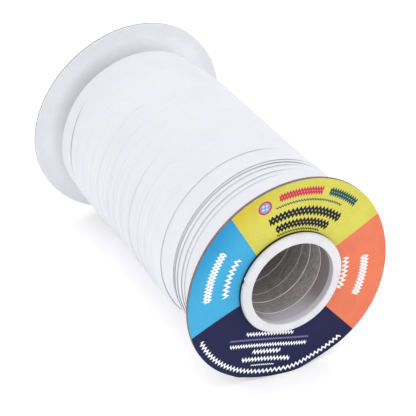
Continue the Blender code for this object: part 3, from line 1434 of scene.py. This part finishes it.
@dataclass
class PrintedDisc:
    """The printed paper disc on the near flange, in four colour sectors."""

    sectors: tuple[Sector, ...]
    thickness: float = 0.12 * MM
    edge: float = SIZES.card_radius - 0.05 * MM
    steps: int = 180
    rings: int = 12

    def build(self) -> None:
        """Builds the disc, cuts it along the borders and dresses each sector."""
        span = (self.edge - SIZES.hole_radius) / self.rings
        radii = [SIZES.hole_radius + span * i for i in range(self.rings + 1)]
        profile = [(SIZES.near_face, r) for r in radii]
        profile += [(SIZES.near_face - self.thickness, r) for r in reversed(radii)]
        shape = turned(profile, self.steps)
        for sector in self.sectors:
            self.cut(shape, sector)
        for face in shape.faces:
            past = [sector.past(face.calc_center_median()) for sector in self.sectors]
            face.material_index = past.index(min(past))
        reach = shape.verts.layers.float.new("reach")
        for vert in shape.verts:
            vert[reach] = polar(vert.co)[1]
        reshape(shape, NEAR_RIM.moved)
        piece = Piece("printed_disc", "printed_paper", ("near_label",), math.radians(60))
        piece.finish(shape, [sector.finish for sector in self.sectors])

    def cut(self, shape: Shape, sector: Sector) -> None:
        """Cuts the disc's faces along the border where a sector starts.

        Args:
            shape: The disc's shape.
            sector: The sector.
        """
        start, run = sector.border()
        outward = Vector((0.0, start.y, start.z))
        faces = [face for face in shape.faces if face.calc_center_median().dot(outward) > 0]
        parts = {part for face in faces for part in (*face.verts, *face.edges)}
        normal = Vector((0.0, -run.z, run.y))
        bmesh.ops.bisect_plane(
            shape, geom=faces + list(parts), dist=1e-7, plane_co=start, plane_no=normal
        )


@dataclass
class EndRing:
    """The white ring over an end of the tube, undercut where it sits, with a small nick."""

    end: End
    steps: int = 160
    seat: float = 17.4 * MM
    under: float = 0.70 * MM
    widest: float = 1.1 * MM
    outer_round: float = 1.1 * MM
    inner_round: float = 0.35 * MM
    nicks: tuple[Pair, ...] = ((math.radians(161), -0.5 * MM), (math.radians(157.5), 0.25 * MM))
    nick_spread: float = math.radians(2.2)

    def profile(self) -> list[Pair]:
        """The ring's section: height above the flange and radius.

        Returns:
            Pairs of height and radius, in order round the section.
        """
        bore, edge, top = SIZES.bore_radius, SIZES.ring_radius, SIZES.ring_height
        outer, inner = self.outer_round, self.inner_round
        found = [(0.02 * MM, bore), (0.02 * MM, self.seat), (self.under - 0.05 * MM, self.seat)]
        found += [(self.under, edge - 0.2 * MM), (self.under + 0.15 * MM, edge - 0.05 * MM)]
        found += [(self.widest, edge)] + arc((top - outer, edge - outer), outer, 90, 0, 7)
        found.append((top + 0.02 * MM, (bore + edge) / 2))
        found += arc((top - inner, bore + inner), inner, 0, -90, 5)
        return found + [(top / 2, bore)]

    def build(self) -> None:
        """Builds and dresses the ring."""
        base, sign = (SIZES.near_face, 1) if self.end is End.NEAR else (SIZES.far_face, -1)
        shape = turned([(base + sign * out, radius) for out, radius in self.profile()], self.steps)
        for face in shape.faces:
            along, radius, _ = polar(face.calc_center_median())
            # The seat and the lip's underside take a painted shadow, and the inner wall a painted
            # shading.
            if abs(along - base) < self.under + 0.01 * MM and radius > self.seat - 0.01 * MM:
                face.material_index = 1
            elif radius < SIZES.bore_radius + 0.01 * MM:
                face.material_index = 2

        def move(along: float, radius: float, angle: float) -> Triple:
            """Adds a slight waviness of the lip, and the nick in it.

            Args:
                along: The point's place along the axis.
                radius: Its distance from the axis.
                angle: Its angle round the axis.

            Returns:
                The point's X, Y and Z, counted from the axis.
            """
            lip = smooth_step((radius - SIZES.bore_radius - 1.5 * MM) / (1.5 * MM))
            radius += lip * 0.05 * MM * math.sin(5 * angle + 0.6)
            for at, reach in self.nicks if self.end is End.NEAR else ():
                radius += lip * reach * smooth_step(1 - apart(angle, at) / self.nick_spread)
            return round_trip(along, radius, angle)

        reshape(shape, move)
        name = self.end.value
        finishes = [
            PlainWhite(f"{name}_ring_white", (222, 221, 226), 0.5),
            # Painted shadow: the seat and the lip's underside are dark as the shade under the lip.
            TubePaper(f"{name}_ring_seat_painted_shadow", (70, 62, 58), 0.9),
            # Painted shade and light: the inner wall is a greyer copy of the ring's white, paler
            # on its lower side where light falls in.
            TubePaper(f"{name}_ring_wall_painted_shading", (196, 194, 198), 0.6, (216, 215, 222), 0.05),
        ]
        piece = Piece(f"{name}_collar", "ring", (f"{name}_ring",), math.radians(35))
        piece.finish(shape, finishes)


# ---- The studio


@dataclass(frozen=True)
class SoftLight:
    """A square soft light aimed at the reel, as bright as it makes a white card facing it."""

    name: str
    place: Triple
    size: float
    brightness: float

    def build(self, target: Vector) -> None:
        """Makes the light and turns it to the target.

        Args:
            target: The place that it is aimed at.
        """
        lamp = bpy.data.lights.new(self.name, "AREA")
        lamp.shape = "SQUARE"
        lamp.size = self.size
        lamp.energy = self.brightness * math.pi**2 * (Vector(self.place) - target).length_squared
        obj = placed(self.name, lamp)
        obj.location = self.place
        obj.rotation_euler = (target - Vector(self.place)).to_track_quat("-Z", "Y").to_euler()


@dataclass
class Studio:
    """The floor, the soft light and the camera."""

    floor_size: float = 6.0
    sky: float = 0.90
    lens: float = 180.863
    eye: Triple = (0.510389, -0.274356, 0.412976)
    right: Triple = (0.475910, 0.879494, 0.0)
    up: Triple = (-0.484935, 0.262407, 0.834254)
    lights: tuple[SoftLight, ...] = (
        SoftLight("back_right", (-0.10, 0.80, 1.00), 0.9, 0.10),
        SoftLight("front", (0.60, -0.55, 1.00), 0.9, 0.22),
        SoftLight("front_right", (0.60, 0.80, 0.80), 0.9, 0.06),
    )

    def build(self) -> None:
        """Builds the whole studio."""
        self.build_floor()
        world = bpy.data.worlds.new("soft_sky")
        world.use_nodes = True
        sky = world.node_tree.nodes["Background"]
        sky.inputs["Color"].default_value = (1.0, 1.0, 1.0, 1.0)
        sky.inputs["Strength"].default_value = self.sky
        bpy.context.scene.world = world
        for light in self.lights:
            light.build(Vector((0.0, 0.0, SIZES.axis_height)))
        self.build_camera()
        bpy.context.scene.view_settings.view_transform = "Standard"
        log.info("studio: %d lights, lens %.1f mm", len(self.lights), self.lens)

    def build_floor(self) -> None:
        """Makes the pale floor."""
        shape = bmesh.new()
        bmesh.ops.create_grid(shape, x_segments=2, y_segments=2, size=self.floor_size / 2)
        floor = solid("floor", shape, [FloorPaint("floor_paint", (250, 250, 250), 0.9)])
        floor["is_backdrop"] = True

    def build_camera(self) -> None:
        """Makes the camera at the photograph's viewing angle."""
        data = bpy.data.cameras.new("camera")
        data.lens = self.lens
        data.sensor_width = 36.0
        data.clip_start, data.clip_end = 0.05, 20.0
        camera = placed("camera", data)
        right, up = Vector(self.right), Vector(self.up)
        turn = Matrix((right, up, right.cross(up))).transposed()
        camera.matrix_world = Matrix.Translation(self.eye) @ turn.to_4x4()
        bpy.context.scene.camera = camera


# ---- The print

WHITE_INK: Colour = (244, 244, 246)
BLACK_INK: Colour = (30, 32, 44)
RED_INK: Colour = (196, 52, 84)
TEAL_INK: Colour = (24, 78, 88)
DIM_INK: Colour = (128, 122, 168)

BUTTON = PrintedButton(31.1, 106.6, 2.4, (200, 60, 90), (110, 160, 225), (236, 220, 110))
YELLOW_ROWS = (
    ArcRow(Stitch.DIAMOND, 2.6, 2.0, RED_INK, 31.8, 68, 97, thread=0.24),
    ArcRow(Stitch.DIAMOND, 2.6, 2.0, TEAL_INK, 31.8, 41, 63, thread=0.24),
    ArcRow(Stitch.ZIGZAG, 0.9, 1.0, TEAL_INK, 28.8, 50, 100, thread=0.36),
    ArcRow(Stitch.DIAMOND, 3.0, 2.8, BLACK_INK, 25.0, 44.5, 107, thread=0.26),
    ArcRow(Stitch.DIAMOND, 2.8, 2.6, BLACK_INK, 21.1, 50, 103.6, thread=0.26),
    ArcRow(Stitch.ZIGZAG, 0.8, 0.9, BLACK_INK, 18.8, 57, 104, thread=0.36),
)
BLUE_ROWS = (
    ArcRow(Stitch.DIAMOND, 2.8, 2.3, WHITE_INK, 29.3, 142, 176.4, thread=0.2),
    ArcRow(Stitch.ZIGZAG, 2.2, 1.6, WHITE_INK, 22.7, 142, 177, thread=0.26),
)
NAVY_ROWS = (
    ArcRow(Stitch.ZIGZAG, 1.7, 1.5, WHITE_INK, 33.7, -159, -55, thread=0.3),
    StraightRow(Stitch.ZIGZAG, 0.6, 0.8, WHITE_INK, 31.1, 8.7, -0.4, thread=0.4),
    StraightRow(Stitch.ZIGZAG, 1.6, 1.2, WHITE_INK, 28.8, 17.9, thread=0.3),
    StraightRow(Stitch.ZIGZAG, 1.6, 1.2, WHITE_INK, 25.9, 10.4, -0.5, thread=0.3),
    StraightRow(Stitch.ZIGZAG, 1.3, 1.0, WHITE_INK, 23.4, 29.0, -0.6, thread=0.3),
    StraightRow(Stitch.ZIGZAG, 0.75, 0.8, DIM_INK, 21.2, 29.8, -0.8, thread=0.36),
    StraightRow(Stitch.ZIGZAG, 1.4, 1.1, WHITE_INK, 19.1, 17.7, -1.2, thread=0.3),
)
ORANGE_ROWS = (
    ArcRow(Stitch.DIAMOND, 2.8, 2.3, WHITE_INK, 27.7, -28.4, 1.3, thread=0.2),
    ArcRow(Stitch.ZIGZAG, 2.2, 1.6, WHITE_INK, 20.7, -26, 6, thread=0.26),
)
# Each print's second colour is its painted shade towards one side of the rim.
YELLOW = PrintedPaper("print_yellow", (213, 206, 90), 0.42, (206, 186, 56), YELLOW_ROWS, BUTTON)
SKY_BLUE = PrintedPaper("print_sky_blue", (66, 170, 216), 0.42, (40, 148, 204), BLUE_ROWS)
NAVY = PrintedPaper("print_navy", (29, 32, 73), 0.42, (27, 31, 71), NAVY_ROWS)
ORANGE = PrintedPaper("print_orange", (230, 124, 92), 0.42, (228, 118, 86), ORANGE_ROWS)
SECTORS = (
    Sector(24.8, 23.6, YELLOW),
    Sector(131.4, 124.5, SKY_BLUE),
    Sector(191.3, 194.8, NAVY),
    Sector(314.0, 312.5, ORANGE),
)


def boxes() -> Iterable[tuple[str, list[list[float]]]]:
    """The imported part's box and the dressed model's box, as plain lists."""
    yield "cad", [list(corner) for corner in cad_box]
    yield "visual", [list(corner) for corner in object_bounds()]


def main() -> None:
    """Builds the reel piece by piece, then the studio round it."""
    logging.basicConfig(level=logging.INFO, format="%(name)s %(message)s")
    card_face = SIZES.near_face - 0.15 * MM
    PaperTube().build()
    TapeWinding().build()
    brown = CardEdge("near_card_edge", (140, 124, 122), 0.9, 1.05 * MM, 0.08, 0.0)
    pale = CardEdge("far_card_edge", (200, 199, 204), 0.9, 1.0 * MM, 0.2, 0.2)
    CardFlange(End.NEAR, NEAR_RIM, card_face, "card_edge", brown).build()
    CardFlange(End.FAR, FAR_RIM, SIZES.far_face, "card_white", pale).build()
    PrintedDisc(SECTORS).build()
    for end in End:
        EndRing(end).build()
    Studio().build()
    dict(boxes())


if __name__ == "__main__":
    main()
